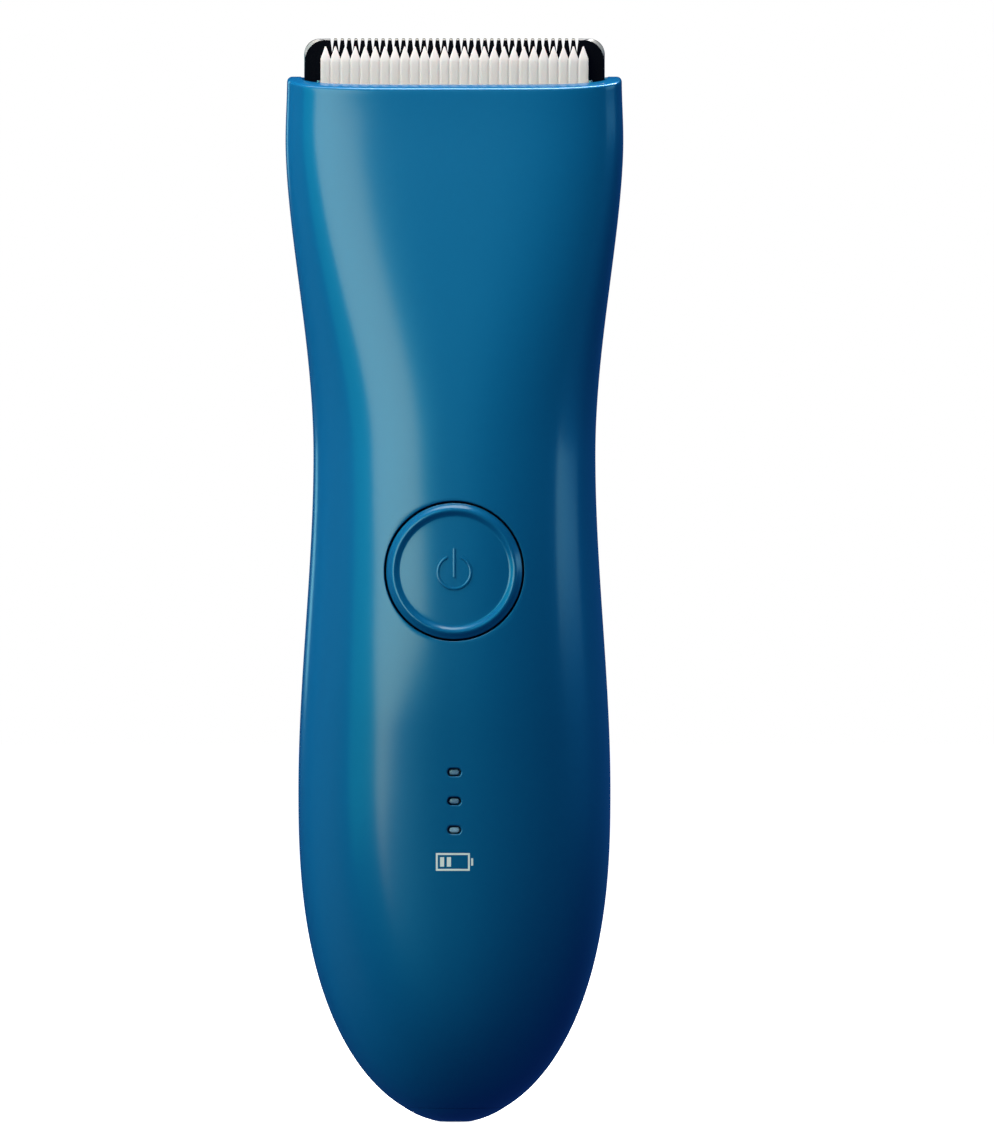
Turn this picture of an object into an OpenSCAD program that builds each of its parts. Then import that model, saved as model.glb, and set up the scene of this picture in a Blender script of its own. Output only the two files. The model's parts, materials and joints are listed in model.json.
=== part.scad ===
// Cordless body groomer: a two-shell handle with a reciprocating ceramic cutter in a pull-off cartridge.
// Millimetres. +Z runs up the handle to the blade, -Y is the button side, the origin is at the tip.

/* [Handle] */
// Height of the housing at the back of the rim
rim_z = 154.3; // [150:0.1:158]
// Half width of the housing at the rim
rim_half = 24.7; // [24:0.1:25.2]
// Half width at the widest part of the head
head_half = 24.95; // [24.5:0.05:25.5]
// Height of the widest part of the head
head_z = 144.9; // [143:0.1:148]
// Half width at the waist
waist_half = 20.82; // [20:0.01:22]
// Height of the waist
waist_z = 98.4; // [92:0.1:104]
// Half width at the fullest part of the handle
handle_half = 23.04; // [22:0.01:24]
// Height of the fullest part of the handle
handle_z = 48.95; // [44:0.05:54]
// Half depth of the handle, front and back
handle_depth = 16.2; // [15.8:0.1:18]
// Half depth of the housing at the rim
rim_depth = 9; // [8.8:0.1:10]
// How far the rim drops from its sides to its front lip
rim_drop = 2; // [1:0.1:2.4]
// Wall thickness of the shells
wall = 2.1; // [1.8:0.1:2.3]

/* [End cap] */
// Radius of the sphere that the cap's face belongs to
cap_sphere = 13.3; // [12:0.1:15]
// Radius of the opening for the charging plug
port_r = 2.1; // [2:0.05:2.4]

/* [Power button] */
// Height of the button's centre
button_z = 81.3; // [79:0.1:83]
// Radius of the button
button_r = 10; // [9:0.1:10.2]
// Gap around the button
button_gap = 0.3; // [0.2:0.05:0.4]
// How far the button travels
button_travel = 0.6; // [0.3:0.05:0.6]

/* [Charge lights] */
// Height of the lowest light
light_z = 43.3; // [42:0.1:45]
// Distance between lights
light_pitch = 4.23; // [4:0.01:4.6]
// Number of lights
light_count = 3; // [2:1:3]

/* [Blades] */
// Height of the fixed blade's tooth tips
tip_z = 160; // [159:0.1:161]
// Half width of the fixed blade
blade_half = 22.2; // [21.8:0.1:22.2]
// Number of fixed teeth
fixed_teeth = 36; // [30:2:36]
// Pitch of the fixed teeth
fixed_pitch = 1.004; // [0.98:0.002:1.01]
// Number of ceramic teeth
cutter_teeth = 27; // [23:2:27]
// Pitch of the ceramic teeth
cutter_pitch = 1.464; // [1.44:0.002:1.47]
// Half of the cutter's stroke, which is also the drive pin's offset
stroke = 1.1; // [0.9:0.05:1.1]

/* [Motor and battery] */
// Radius of the motor can before its flats
motor_r = 10.2; // [9.8:0.1:10.2]
// Half depth of the motor across its flats
motor_flat = 7.7; // [7.4:0.1:7.7]
// Length of the motor can
motor_len = 27; // [25:0.5:28]
// Radius of the battery cell
cell_r = 7.05; // [6.8:0.05:7.2]
// Length of the battery cell
cell_len = 50; // [46:0.5:52]

/* [Hidden] */

blue = "#0b6292";
black = "#111214";
steel = "#c4c8cc";
fine = 64;

waist_skew = 0.92;     // moves the flare between waist and head towards the head
drop_power = 1.6;      // how quickly the rim falls to the front lip
drop_from = 138;       // height where the rings start to follow the rim
front_swell_z = 58;    // height where the front reaches its full depth
back_swell_z = 72;     // height where the back reaches its full depth
arc_steps = 24;        // facets in half a ring
body_rings = 20;       // rings between the handle's fullest part and the rim
tail_rings = 13;       // rings in the tail
tail_bore = 5;         // radius of the hole that the end cap and jack stand in
tail_bore_top = 4.6;   // height where that hole opens into the handle

cap_r = 7.55;          // radius of the cap, where it meets the shells
cap_tip = cap_sphere - sqrt(cap_sphere^2 - port_r^2);
cap_h = cap_sphere - sqrt(cap_sphere^2 - cap_r^2) - cap_tip;
tail_t = (handle_z - cap_h) / handle_z;
width_power = ln(1 - (cap_r / handle_half)^2) / ln(tail_t);
depth_power = ln(1 - (cap_r / handle_depth)^2) / ln(tail_t);

deck_z = 131;          // underside of the deck that carries the motor
deck_h = 3;
deck_clear = 0.2;      // gap between the deck and the shells
board_y = 8.8;         // front face of the board, measured towards the front
board_t = 1.2;
cell_y = 4.2;          // battery axis, towards the back
cell_z = 24;
screw_r = 0.9;
board_screw_places = [[-9, 34], [9, 34], [-9.8, 91], [9.8, 91]];
boss_x = 15;
boss_y = 4.6;
boss_r = 2;
boss_h = 11;
web_t = 2;
web_reach = 4.3;       // from a boss into the wall of its shell

// ---------- shape of the housing ----------

function smooth(t) = t <= 0 ? 0 : t >= 1 ? 1 : t * t * (3 - 2 * t);
function mix(a, b, t) = a + (b - a) * t;
function tail(z, power) = sqrt(max(0, 1 - pow((handle_z - z) / handle_z, power)));

function half_width(z) =
    z > head_z ? mix(head_half, rim_half, smooth((z - head_z) / (rim_z - head_z)))
    : z > waist_z ? mix(head_half, waist_half, smooth(pow((head_z - z) / (head_z - waist_z), waist_skew)))
    : z > handle_z ? mix(handle_half, waist_half, smooth((z - handle_z) / (waist_z - handle_z)))
    : handle_half * tail(z, width_power);

function half_depth(z, swell_z) =
    z > handle_z ? mix(handle_depth, rim_depth, smooth((z - swell_z) / (rim_z - swell_z)))
    : handle_depth * tail(z, depth_power);

function squareness(z) =
    z > waist_z ? mix(2.6, 4.6, smooth((z - waist_z) / (rim_z - waist_z)))
    : z > handle_z ? 2.6
    : mix(2, 2.6, smooth(z / handle_z));

// A point of a superellipse ring at angle a, where negative y is the front
function ring_point(a, hx, front, back, n) = [
    hx * sign(cos(a)) * pow(abs(cos(a)), 2 / n),
    (a > 180 ? -front : back) * pow(abs(sin(a)), 2 / n)
];

function section(z, a, inset) = ring_point(
    a, half_width(z) - inset, half_depth(z, front_swell_z) - inset,
    half_depth(z, back_swell_z) - inset, squareness(z));

// Distance from the XZ plane to the front surface at x and z
function front_reach(x, z) = half_depth(z, front_swell_z)
    * pow(1 - pow(abs(x) / half_width(z), squareness(z)), 1 / squareness(z));

function rim_fall(y, z) = y >= 0 || z < drop_from ? 0
    : rim_drop * pow(-y / rim_depth, drop_power) * smooth((z - drop_from) / (rim_z - drop_from));

function inner_point(z, a) = z < tail_bore_top ? [tail_bore * cos(a), tail_bore * sin(a)]
    : section(z, a, wall + 0.9 * (1 - smooth(z / 20)));

ring_heights = [
    for (i = [0 : tail_rings - 1]) mix(cap_h, handle_z, 1 - cos(90 * i / tail_rings)),
    for (i = [0 : body_rings]) mix(handle_z, rim_z, i / body_rings)
];

// One half of the housing: outer arc and inner arc in each ring, closed at the seam, rim and tail
module half_shell(first_angle) {
    steps = arc_steps;
    per_ring = 2 * (steps + 1);
    rings = len(ring_heights);
    points = [
        for (z = ring_heights) each concat(
            [for (i = [0 : steps]) let (p = section(z, first_angle + 180 * i / steps, 0))
                [p.x, p.y, z - rim_fall(p.y, z)]],
            [for (i = [steps : -1 : 0]) let (p = inner_point(z, first_angle + 180 * i / steps))
                [p.x, p.y, z - rim_fall(p.y, z)]])
    ];
    sides = [
        for (r = [0 : rings - 2], i = [0 : per_ring - 1])
            let (j = (i + 1) % per_ring, a = r * per_ring, b = a + per_ring)
                each [[a + i, b + i, b + j], [a + i, b + j, a + j]]
    ];
    function cap_strip(base, flip) = [
        for (i = [0 : steps - 1])
            let (o0 = base + i, o1 = o0 + 1, n0 = base + per_ring - 1 - i, n1 = n0 - 1)
                each flip ? [[o0, o1, n1], [o0, n1, n0]] : [[o0, n1, o1], [o0, n0, n1]]
    ];
    polyhedron(points, concat(sides, cap_strip(0, true), cap_strip((rings - 1) * per_ring, false)));
}

// A closed outline of the housing's inside at height z
function outline(z, inset) = [for (i = [0 : 2 * arc_steps - 1]) section(z, 180 * i / arc_steps, inset)];

// Puts children on the front face: their +Z points forwards and their +Y points up
module facing_front(z) {
    translate([0, 0, z]) rotate([90, 0, 0]) children();
}

module pill(width, height, depth) {
    r = height / 2;
    for (s = [-1, 1]) translate([s * (width / 2 - r), 0, 0]) cylinder(r = r, h = depth, $fn = 32);
    translate([-(width / 2 - r), -r, 0]) cube([width - height, height, depth]);
}

function light_height(i) = light_z + i * light_pitch;

// ---------- casing ----------

// Two bosses for the deck's screws, each joined to its shell by a web
module screw_bosses(side) {
    for (s = [-1, 1]) translate([s * boss_x, side * boss_y, deck_z - boss_h]) {
        cylinder(r = boss_r, h = boss_h, $fn = 32);
        translate([-web_t / 2, side > 0 ? 0 : -web_reach, 0]) cube([web_t, web_reach, boss_h]);
    }
}

module boss_bores(side) {
    for (s = [-1, 1]) translate([s * boss_x, side * boss_y, deck_z - boss_h + 2])
        cylinder(r = screw_r, h = 10, $fn = 32);
}

module front_housing() {
    hole_r = button_r + button_gap;
    color(blue) difference() {
        union() {
            half_shell(180);
            facing_front(button_z) translate([0, 0, 10.8]) cylinder(r = hole_r + 1.5, h = 3, $fn = fine);
            screw_bosses(-1);
        }
        facing_front(button_z) translate([0, 0, 9]) cylinder(r = hole_r, h = 12, $fn = fine);
        for (i = [0 : light_count - 1])
            facing_front(light_height(i)) translate([0, 0, 11]) pill(2.05, 1.25, 8);
        boss_bores(-1);
    }
}

module rear_housing() {
    color(blue) difference() {
        union() {
            half_shell(0);
            screw_bosses(1);
        }
        boss_bores(1);
    }
}

// Domed face, a boss in the tail's hole and a groove for the O-ring
module end_cap() {
    dome = [for (i = [0 : 10]) let (r = mix(port_r, cap_r - 0.05, i / 10))
        [r, cap_sphere - sqrt(cap_sphere^2 - r^2) - cap_tip]];
    color(blue) rotate_extrude($fn = fine) polygon(concat(
        dome,
        [[cap_r - 0.05, cap_h - 0.02], [tail_bore - 0.15, cap_h - 0.02], [tail_bore - 0.15, 2.3],
         [tail_bore - 0.75, 2.3], [tail_bore - 0.75, 3.1], [tail_bore - 0.15, 3.1],
         [tail_bore - 0.15, 3.6], [port_r, 3.6]]));
}

module end_cap_oring() {
    color(black) translate([0, 0, 2.7]) rotate_extrude($fn = fine)
        translate([tail_bore - 0.4, 0]) circle(r = 0.33, $fn = 24);
}

// Deck with its motor cage, board rails and battery cradle, moulded as one frame
module chassis() {
    cage_x = motor_r + 0.3;
    color("#2b2d31") difference() {
        union() {
            translate([0, 0, deck_z]) linear_extrude(deck_h)
                polygon(outline(deck_z + deck_h / 2, wall + deck_clear));
            for (s = [-1, 1]) translate([s * (cage_x + 0.75) - 0.75, -5, 92])
                cube([1.5, 10, deck_z - 92]);
            translate([-cage_x - 1.5, -5, 92]) cube([2 * cage_x + 3, 10, 2]);
            translate([-cage_x, -board_y + board_t + 1.2, 18]) cube([2 * cage_x, 1.4, 76]);
            for (p = board_screw_places) translate([p.x, -board_y + board_t, p.y])
                rotate([-90, 0, 0]) cylinder(r = 1.8, h = 1.3, $fn = 32);
            for (z = [27, 68]) translate([0, cell_y, z]) difference() {
                union() {
                    cylinder(r = cell_r + 1.6, h = 3, $fn = fine);
                    translate([-cell_r - 1.6, -cell_y - board_y + board_t + 1.3, 0])
                        cube([2 * cell_r + 3.2, board_y + cell_y - board_t - 1.3, 3]);
                }
                translate([0, 0, -1]) cylinder(r = cell_r + 0.1, h = 5, $fn = fine);
                translate([-6, 0, -1]) cube([12, 12, 5]);
            }
            translate([-cage_x, -board_y + board_t + 1.2, 18]) cube([2 * cage_x, 9, 1.6]);
        }
        translate([0, 0, deck_z - 1]) cylinder(r = 3.15, h = deck_h + 2, $fn = 48);
        for (s = [-1, 1], t = [-1, 1]) translate([s * boss_x, t * boss_y, deck_z - 1])
            cylinder(r = 1.1, h = deck_h + 2, $fn = 32);
        for (s = [-1, 1]) translate([s * 6.5, 0, deck_z - 1])
            cylinder(r = 1.1, h = deck_h + 2, $fn = 32);
        for (p = board_screw_places) translate([p.x, -board_y, p.y])
            rotate([-90, 0, 0]) cylinder(r = screw_r, h = 5, $fn = 24);
        translate([0, 0, deck_z + 0.9]) linear_extrude(1.2) difference() {
            square([80, 40], center = true);
            polygon(outline(deck_z + 1.5, wall + deck_clear + 0.7));
        }
        translate([-7.1, -8, 89]) cube([14.2, 3.9, 6]);
        for (s = [-1, 1]) translate([s * 5.55 - 1.65, -8, 17]) cube([3.3, 4.2, 9]);
    }
}

module deck_gasket() {
    color(black) translate([0, 0, deck_z + 0.95]) linear_extrude(1.1) difference() {
        polygon(outline(deck_z + 1.5, wall + 0.09));
        polygon(outline(deck_z + 1.5, wall + deck_clear + 0.68));
    }
}

module pan_screw(length) {
    cylinder(r = screw_r - 0.03, h = length, $fn = 32);
    translate([0, 0, length]) difference() {
        cylinder(r = 1.8, h = 1.2, $fn = 32);
        translate([0, 0, 0.5]) for (a = [0, 90]) rotate(a) cube([2, 0.5, 2], center = true);
    }
}

module deck_screws() {
    color(steel) for (s = [-1, 1], t = [-1, 1])
        translate([s * boss_x, t * boss_y, deck_z + deck_h - 10]) pan_screw(10);
}

// ---------- power ----------

module battery_cell() {
    color("#2f6f4f") translate([0, cell_y, cell_z]) cylinder(r = cell_r, h = cell_len, $fn = fine);
}

module battery_cap() {
    color(steel) translate([0, cell_y, cell_z + cell_len]) cylinder(r = 2.8, h = 1.1, $fn = 32);
}

module battery_tab_positive() {
    z = cell_z + cell_len + 1.1;
    color(steel) {
        translate([-2, -board_y + board_t + 2.8, z]) cube([4, cell_y + board_y - board_t - 1, 0.3]);
        translate([-2, -board_y + board_t + 2.8, z]) cube([4, 0.3, 5]);
    }
}

module battery_tab_negative() {
    color(steel) {
        translate([-2, -board_y + board_t + 4.2, cell_z - 0.3]) cube([4, cell_y + 6, 0.3]);
        translate([-2, -board_y + board_t + 4.2, cell_z - 3]) cube([4, 0.3, 2.9]);
    }
}

// A round wire through a list of points, as rings of 8 corners set square to the path
module wire(path, r) {
    sides = 8;
    last = len(path) - 1;
    function unit(v) = v / norm(v);
    function along(i) = unit(path[min(i + 1, last)] - path[max(i - 1, 0)]);
    function across(t) = unit(cross(t, abs(t.x) > 0.9 ? [0, 0, 1] : [1, 0, 0]));
    points = [for (i = [0 : last]) let (t = along(i), u = across(t), v = cross(t, u))
        each [for (k = [0 : sides - 1]) path[i] + r * (cos(45 * k) * u + sin(45 * k) * v)]];
    skin = [for (i = [0 : last - 1], k = [0 : sides - 1])
        let (a = i * sides, b = a + sides, k2 = (k + 1) % sides)
            each [[a + k, b + k, b + k2], [a + k, b + k2, a + k2]]];
    start = [for (k = [1 : sides - 2]) [0, k, k + 1]];
    finish = [for (k = [1 : sides - 2]) [last * sides, last * sides + k + 1, last * sides + k]];
    polyhedron(points, concat(skin, start, finish));
}

// A smooth curve through four control points
function bend(p, steps = 10) = [for (i = [0 : steps]) let (t = i / steps, s = 1 - t)
    s^3 * p[0] + 3 * s^2 * t * p[1] + 3 * s * t^2 * p[2] + t^3 * p[3]];

module battery_wire_positive() {
    color("#b3201c") wire(bend([[2.12, -4.5, 79], [7, -4.3, 82.5], [13.5, -3, 84], [11.6, -7.14, 76]]), 0.45);
}

module battery_wire_negative() {
    color(black) wire(bend([[-2.12, -3.25, 22], [-8, -3.25, 21.6], [-12.6, -3.6, 23], [-11.6, -7.14, 34]]), 0.45);
}

jack_z = 3.7;
jack_len = 10;

module jack_body() {
    color(black) difference() {
        union() {
            translate([0, 0, jack_z]) cylinder(r = 4.6, h = jack_len, $fn = fine);
            translate([-4.6, -4.6, jack_z + 3]) cube([9.2, 9.2, jack_len - 3]);
        }
        translate([0, 0, jack_z - 1]) cylinder(r = 1.8, h = jack_len, $fn = 48);
        translate([0, 0, jack_z]) cylinder(r = 0.65, h = jack_len + 1, $fn = 32);
    }
}

// Centre contact with its solder tail
module jack_pin() {
    color(steel) {
        translate([0, 0, jack_z + 1.8]) cylinder(r = 0.65, h = jack_len, $fn = 32);
        translate([-0.6, -0.25, jack_z + jack_len + 1]) cube([1.2, 0.5, 2.4]);
    }
}

module jack_wires() {
    top = jack_z + jack_len;
    color("#b3201c") for (s = [-1, 1])
        wire(bend([[s * 3, -3, top + 0.02], [s * 3, -3, 17], [s * 6, -7, 14], [s * 6, -7.18, 32]]), 0.4);
}

// ---------- electronics ----------

module circuit_board() {
    color("#1d5b3a") difference() {
        translate([-12.2, -board_y, 30]) cube([24.4, board_t, 63]);
        for (p = board_screw_places) translate([p.x, -board_y - 1, p.y])
            rotate([-90, 0, 0]) cylinder(r = 1.05, h = 4, $fn = 24);
    }
}

module board_screws() {
    color(steel) for (p = board_screw_places) translate([p.x, -board_y + 3.7, p.y])
        rotate([90, 0, 0]) pan_screw(3.7);
}

module tact_switch() {
    color("#3b3d40") facing_front(button_z) translate([0, 0, board_y]) difference() {
        translate([-3, -3, 0]) cube([6, 6, 2]);
        translate([0, 0, 0.4]) cylinder(r = 1.8, h = 3, $fn = 32);
    }
}

module switch_plunger() {
    color(black) facing_front(button_z) translate([0, 0, board_y + 1.1])
        cylinder(r = 1.7, h = 1.5, $fn = 32);
}

module controller_chip() {
    color(black) translate([-2.5, -board_y - 1, 58]) cube([5, 1, 6]);
    color(black) translate([-10, -board_y - 1.2, 60]) cube([4, 1.2, 4]);
    color(black) translate([5.6, -board_y - 1.6, 59]) cube([4.6, 1.6, 4.6]);
}

module charge_lights() {
    color("#f4f1dc") for (i = [0 : light_count - 1])
        facing_front(light_height(i)) translate([-0.8, -0.5, board_y]) cube([1.6, 1, 0.7]);
}

// Three clear fingers on one bridge; each finger ends just under the housing's face
module light_guide() {
    bridge = 12.4;
    mid = light_height((light_count - 1) / 2);
    color([0.8, 0.9, 0.95, 0.7]) {
        facing_front(mid) translate([-3.2, -7.2, bridge]) cube([6.4, 14.4, 1.2]);
        for (i = [0 : light_count - 1]) facing_front(light_height(i)) {
            reach = front_reach(0, light_height(i));
            translate([0, 0, bridge + 1]) pill(1.5, 0.8, reach - bridge - 1.3);
            translate([0, 0, board_y + 0.9]) pill(2.2, 1.4, bridge - board_y - 0.8);
        }
    }
}

// ---------- motor ----------

motor_z = deck_z - motor_len;   // underside of the can, where the end bell starts

module motor_section(r, flat, h) {
    intersection() {
        cylinder(r = r, h = h, $fn = fine);
        translate([-r, -flat, 0]) cube([2 * r, 2 * flat, h]);
    }
}

module motor_can() {
    color(steel) difference() {
        union() {
            translate([0, 0, motor_z]) motor_section(motor_r, motor_flat, motor_len);
            translate([0, 0, deck_z]) cylinder(r = 3, h = 1.4, $fn = 48);
        }
        translate([0, 0, motor_z - 1]) motor_section(motor_r - 0.8, motor_flat - 0.8, motor_len);
        translate([0, 0, deck_z - 3]) cylinder(r = 2, h = 6, $fn = 32);
        for (s = [-1, 1]) translate([s * 6.5, 0, deck_z - 2]) cylinder(r = 0.95, h = 3, $fn = 24);
    }
}

module motor_magnets() {
    color("#4a4c50") for (s = [0, 180]) rotate(s - 45)
        translate([0, 0, motor_z + 3]) rotate_extrude(angle = 90, $fn = fine)
            translate([6.6, 0]) square([2.4, 17]);
}

module motor_end_bell() {
    color("#e8e4da") difference() {
        union() {
            translate([0, 0, motor_z - 2]) motor_section(motor_r, motor_flat, 2);
            translate([0, 0, motor_z]) motor_section(motor_r - 0.85, motor_flat - 0.85, 1.5);
            translate([0, 0, motor_z - 3.6]) cylinder(r = 3, h = 2, $fn = 48);
        }
        translate([0, 0, motor_z - 3.2]) cylinder(r = 2, h = 6, $fn = 32);
    }
}

module motor_bushes() {
    color("#b98a4a") for (z = [deck_z - 0.6, motor_z - 3.1]) translate([0, 0, z]) difference() {
        cylinder(r = 1.98, h = 1.9, $fn = 32);
        translate([0, 0, -1]) cylinder(r = 1.03, h = 4, $fn = 32);
    }
}

module motor_brushes() {
    color("#8a5a2b") for (s = [-1, 1]) translate([s * 3 - 0.6, -0.6, motor_z + 1.7]) cube([1.2, 1.2, 1.8]);
}

module motor_screws() {
    color(steel) for (s = [-1, 1]) translate([s * 6.5, 0, deck_z + deck_h - 4.6]) pan_screw(4.6);
}

module motor_wire_positive() {
    color("#b3201c") wire(bend([[7, 0, motor_z - 2.02], [7, 0, 94.5], [6.2, -7, 98], [6, -7.12, 91]]), 0.45);
}

module motor_wire_negative() {
    color(black) wire(bend([[-7, 0, motor_z - 2.02], [-7, 0, 94.5], [-6.2, -7, 98], [-6, -7.12, 91]]), 0.45);
}

module shaft_seal() {
    color(black) translate([0, 0, deck_z + 1.5]) difference() {
        cylinder(r = 3.1, h = 1.4, $fn = 48);
        translate([0, 0, -1]) cylinder(r = 1.05, h = 4, $fn = 32);
    }
}

module rotor_shaft() {
    color(steel) translate([0, 0, motor_z - 2.9]) cylinder(r = 1, h = motor_len + 9.3, $fn = 32);
}

// Three-pole lamination stack: a ring with three winding windows, each open at the rim
module rotor_core() {
    color("#9a9da1") translate([0, 0, motor_z + 5]) linear_extrude(13) difference() {
        circle(r = 6.1, $fn = fine);
        difference() {
            circle(r = 5, $fn = fine);
            circle(r = 2.4, $fn = 32);
            for (a = [0 : 120 : 240]) rotate(a) translate([-0.9, 0]) square([1.8, 5.5]);
        }
        for (a = [60 : 120 : 300]) rotate(a) translate([-1, 4.5]) square([2, 3]);
        circle(r = 1, $fn = 32);
    }
}

module rotor_windings() {
    color("#b5652a") translate([0, 0, motor_z + 4.2]) for (a = [0 : 120 : 240]) rotate(a) difference() {
        translate([-1.7, 2.7, 0]) cube([3.4, 1.9, 14.6]);
        translate([-0.92, 2, 0.78]) cube([1.84, 3, 13.04]);
    }
}

module commutator() {
    color("#b87333") translate([0, 0, motor_z + 1.6]) difference() {
        cylinder(r = 2.3, h = 2.3, $fn = 32);
        translate([0, 0, -1]) cylinder(r = 1, h = 5, $fn = 32);
        for (a = [0 : 120 : 240]) rotate(a) translate([1.9, -0.15, -1]) cube([1, 0.3, 5]);
    }
}

hub_z = deck_z + deck_h + 0.6;
hub_h = 4;
pin_z = hub_z + hub_h;

module drive_hub() {
    color("#e9e6df") translate([0, 0, hub_z]) difference() {
        cylinder(r = 3.6, h = hub_h, $fn = 48);
        translate([0, 0, -1]) cylinder(r = 1, h = 3.9, $fn = 32);
        translate([0, -stroke, 2.95]) cylinder(r = 1, h = 3, $fn = 32);
    }
}

// Off-centre pin that works in the carrier's fork
module drive_pin() {
    color(steel) translate([0, -stroke, hub_z + 3]) cylinder(r = 1, h = hub_h + 0.6, $fn = 32);
}

// ---------- button ----------

// Height of the button's face over the housing's surface, at radius r
function button_relief(r) = let (u = r / button_r - bead_from)
    dish + (u > 0 ? bead_h * sin(180 * u / (1 - bead_from))^2 : 0);

dish = -0.1;           // the dish and the button's edge lie this far under the surface
bead_h = 0.4;          // height of the raised ring round the dish
bead_from = 0.795;     // where that ring starts, as a share of the radius
button_radii = [0.3, 0.6, bead_from, 0.83, 0.865, 0.8975, 0.93, 0.965, 1];
button_floor = 12.6;

module button_cap() {
    steps = 48;
    rings = len(button_radii);
    function at(k, i) = let (r = button_r * button_radii[k], a = 360 * i / steps, x = r * cos(a), y = r * sin(a))
        [x, y, front_reach(x, button_z + y) + button_relief(r)];
    points = concat(
        [for (k = [0 : rings - 1], i = [0 : steps - 1]) at(k, i)],
        [for (i = [0 : steps - 1]) [button_r * cos(360 * i / steps), button_r * sin(360 * i / steps), button_floor]],
        [[0, 0, front_reach(0, button_z) + button_relief(0)], [0, 0, button_floor]]);
    top = rings * steps + steps;
    faces = concat(
        [for (i = [0 : steps - 1]) [top, (i + 1) % steps, i]],
        [for (k = [0 : rings - 1], i = [0 : steps - 1]) let (a = k * steps, b = a + steps, j = (i + 1) % steps)
            each [[a + i, a + j, b + j], [a + i, b + j, b + i]]],
        [for (i = [0 : steps - 1]) [top + 1, rings * steps + i, rings * steps + (i + 1) % steps]]);
    polyhedron(points, faces);
}

module power_button() {
    skirt = 9.9;
    color(blue) facing_front(button_z) {
        button_cap();
        rotate_extrude($fn = fine) polygon([
            [8.4, skirt], [button_r + 1, skirt], [button_r + 1, skirt + 0.8], [button_r - 0.01, skirt + 0.8],
            [button_r - 0.01, 11.55], [9.3, 11.55], [9.3, 12.5], [button_r - 0.01, 12.5],
            [button_r - 0.01, 12.8], [8.4, 12.8]]);
        translate([0, 0, board_y + 2.62]) cylinder(r = 1.5, h = button_floor - board_y - 2.4, $fn = 32);
    }
}

module button_oring() {
    color(black) facing_front(button_z) translate([0, 0, 12.03]) rotate_extrude($fn = fine)
        translate([9.78, 0]) circle(r = 0.45, $fn = 24);
}

// ---------- blade cartridge ----------

blade_y = 1.2;        // the plane where the cutter runs on the fixed blade
blade_t = 0.8;
cutter_t = 1.9;
valley_z = tip_z - 2.1;   // where the gaps between fixed teeth end
shoulder_z = tip_z - 0.05;
blade_foot = 142.6;
tang_half = 20.9;     // half width of the blade where the frame wraps round it
cutter_tip = tip_z - 1.25;
cutter_valley = tip_z - 3.1;
cutter_foot = 146.4;
frame_top = 151;
frame_foot = 141;
slot_half = 21.2;     // the cutter's own half width and stroke, with some clearance
slot_front = -3.4;
spring_wall = -5.06;  // front wall of the spring's pocket
guide_x = 20.05;
guide_y = -4.4;
guide_r = 0.3;
guide_foot = 147;
guide_top = 153.6;

module fixed_outline() {
    corner = 2.3;
    corner_x = blade_half - corner;
    last_valley = fixed_teeth / 2 * fixed_pitch;
    lug = last_valley + fixed_pitch / 2 - 0.24;
    difference() {
        union() {
            translate([-tang_half, blade_foot]) square([2 * tang_half, frame_top + 1 - blade_foot]);
            translate([-blade_half, frame_top + 0.1])
                square([2 * blade_half, shoulder_z - corner - frame_top - 0.1]);
            translate([-corner_x, frame_top + 0.1]) square([2 * corner_x, valley_z - frame_top - 0.1]);
            for (s = [0, 1]) mirror([s, 0]) {
                translate([corner_x, shoulder_z - corner]) circle(r = corner, $fn = fine);
                polygon([[last_valley, valley_z - 0.1], [corner_x, valley_z - 0.1], [corner_x, shoulder_z],
                    [lug, shoulder_z], [last_valley, valley_z]]);
            }
        }
        for (s = [-1, 1]) translate([s * 15, 144]) circle(r = 0.8, $fn = 32);
    }
}

module fixed_blade() {
    color("#2b2b2d") translate([0, blade_y + blade_t, 0]) rotate([90, 0, 0]) linear_extrude(blade_t) {
        fixed_outline();
        for (i = [0 : fixed_teeth - 1]) translate([(i - (fixed_teeth - 1) / 2) * fixed_pitch, 0])
            polygon([[-0.5, valley_z - 0.1], [0.5, valley_z - 0.1],
                     [0.24, tip_z - 0.15], [0.16, tip_z], [-0.16, tip_z], [-0.24, tip_z - 0.15]]);
    }
}

// Ribbed ceramic plate; each tooth runs down its face as a shallow rib
module ceramic_cutter() {
    half = cutter_teeth / 2 * cutter_pitch;
    rib = cutter_pitch / 2;
    color("#dcddd8") difference() {
        translate([0, blade_y - 0.02, 0]) rotate([90, 0, 0]) linear_extrude(cutter_t) polygon(concat(
            [[half, cutter_foot], [half, cutter_valley]],
            [for (i = [cutter_teeth - 1 : -1 : 0]) let (x = (i - (cutter_teeth - 1) / 2) * cutter_pitch)
                each [[x + rib, cutter_valley], [x + 0.1, cutter_tip], [x - 0.1, cutter_tip]]],
            [[-half, cutter_valley], [-half, cutter_foot]]));
        for (i = [1 : cutter_teeth - 1])
            translate([(i - cutter_teeth / 2) * cutter_pitch, blade_y - cutter_t, 150]) rotate([0, 0, 45])
                cube([0.34, 0.34, 30], center = true);
        for (s = [-1, 1]) translate([s * 5, blade_y + 1, cutter_foot + 2]) rotate([90, 0, 0])
            cylinder(r = 0.85, h = cutter_t + 2, $fn = 32);
    }
}

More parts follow.
